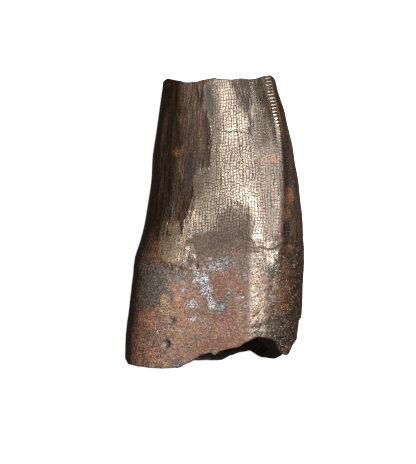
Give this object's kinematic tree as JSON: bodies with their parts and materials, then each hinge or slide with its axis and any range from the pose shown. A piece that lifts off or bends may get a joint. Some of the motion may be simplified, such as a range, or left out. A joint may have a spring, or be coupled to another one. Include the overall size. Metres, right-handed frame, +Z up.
{
  "type": "fossil tyrannosaur tooth",
  "caption": "Broken fossil tooth crown with the top of its hollow root, finely serrated on both edges, lying on its labial face.",
  "frame": {"origin": "under the middle of the tooth's box, on the surface that its labial face rests on", "axes": "+X from the distal edge towards the mesial edge, +Y from the broken root towards the broken tip, +Z up out of the lingual face"},
  "size_m": [0.0268, 0.0436, 0.0174],
  "materials": {
    "fossil_enamel": "satin mineralised enamel and dentine, dark brown"
  },
  "bodies": {
    "root": {"tooth": "fossil_enamel"}
  },
  "joints": []
}
